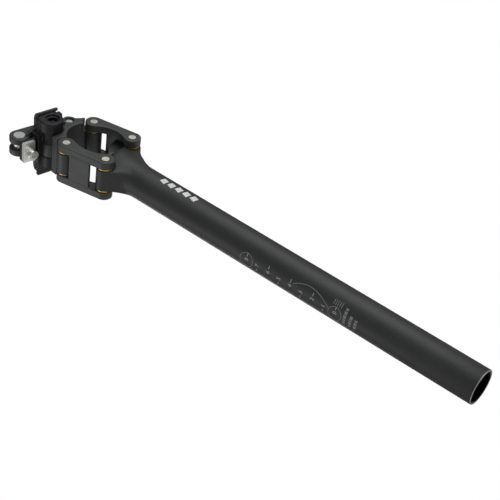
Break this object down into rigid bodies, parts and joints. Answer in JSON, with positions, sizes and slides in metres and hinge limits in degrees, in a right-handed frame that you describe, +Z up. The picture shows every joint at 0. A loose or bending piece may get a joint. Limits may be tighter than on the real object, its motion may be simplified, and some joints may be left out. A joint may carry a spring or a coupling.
{
  "type": "suspension seatpost",
  "caption": "Bicycle seatpost with a sprung parallelogram head that lets the saddle move back and down, and a tilting clamp for two saddle rails.",
  "frame": {"origin": "on the post tube's axis, in the plane of its open lower end", "axes": "+Z up the tube towards the saddle, +X forwards as the bicycle rides, +Y to the left across the saddle"},
  "size_m": [0.072, 0.0564, 0.42],
  "materials": {
    "anodised_black": "satin black anodised",
    "cradle_black": "satin black anodised",
    "steel": "turned",
    "bronze": "satin",
    "spring_steel": "satin",
    "guide_plastic": "matt"
  },
  "bodies": {
    "post_body": {"post": "anodised_black", "front_bottom_bush_right": "bronze", "front_bottom_bush_left": "bronze", "rear_bottom_bush_right": "bronze", "rear_bottom_bush_left": "bronze", "guide_bush": "guide_plastic", "coil_spring": "spring_steel", "spring_seat": "steel", "preload_plug": "steel"},
    "front_link_body": {"front_link": "anodised_black", "front_bottom_axle": "steel", "front_top_axle": "steel", "front_bottom_axle_screw": "steel", "front_top_axle_screw": "steel", "roller_pin": "steel"},
    "rear_link_body": {"rear_link": "anodised_black", "rear_bottom_axle": "steel", "rear_top_axle": "steel", "rear_bottom_axle_screw": "steel", "rear_top_axle_screw": "steel"},
    "head_body": {"head": "anodised_black", "front_top_bush_right": "bronze", "front_top_bush_left": "bronze", "rear_top_bush_right": "bronze", "rear_top_bush_left": "bronze", "front_cross_pin": "steel"},
    "saddle_clamp": {"lower_cradle": "cradle_black", "tilt_bolt": "steel", "upper_clamp": "anodised_black", "barrel_nut": "steel", "bolt_plate": "steel", "rail_bolt": "steel"},
    "plunger_body": {"plunger": "steel", "spring_cap": "steel"},
    "roller_body": {"roller": "steel"}
  },
  "joints": [
    {"name": "front_link", "type": "hinge", "parent": "post_body", "child": "front_link_body", "pos_m": [0.02127, 0, 0.3429], "axis": [0, -1, 0], "range_deg": [0, 60], "stiffness_Nm_per_rad": 24, "springref_deg": -22.92},
    {"name": "rear_link", "type": "hinge", "parent": "post_body", "child": "rear_link_body", "pos_m": [-0.01727, 0, 0.3345], "axis": [0, -1, 0], "range_deg": [0, 60]},
    {"name": "head", "type": "hinge", "parent": "front_link_body", "child": "head_body", "pos_m": [0.0141, 0, 0.37879], "axis": [0, -1, 0], "range_deg": [-60, 0]},
    {"name": "saddle_tilt", "type": "hinge", "parent": "head_body", "child": "saddle_clamp", "pos_m": [-0.0188, 0, 0.3923], "axis": [0, 1, 0], "range_deg": [-8, 8]},
    {"name": "plunger", "type": "slide", "parent": "post_body", "child": "plunger_body", "axis": [0, 0, -1], "range_m": [0, 0.016], "deforming": ["coil_spring"]},
    {"name": "roller", "type": "hinge", "parent": "front_link_body", "child": "roller_body", "pos_m": [0.00742, 0, 0.3509], "axis": [0, -1, 0], "continuous": true}
  ],
  "couplings": [
    {"joint": "rear_link", "follows": "front_link", "ratio": 1},
    {"joint": "head", "follows": "front_link", "ratio": -1},
    {"joint": "plunger", "follows": "front_link", "m_per_rad": 0.015278}
  ]
}
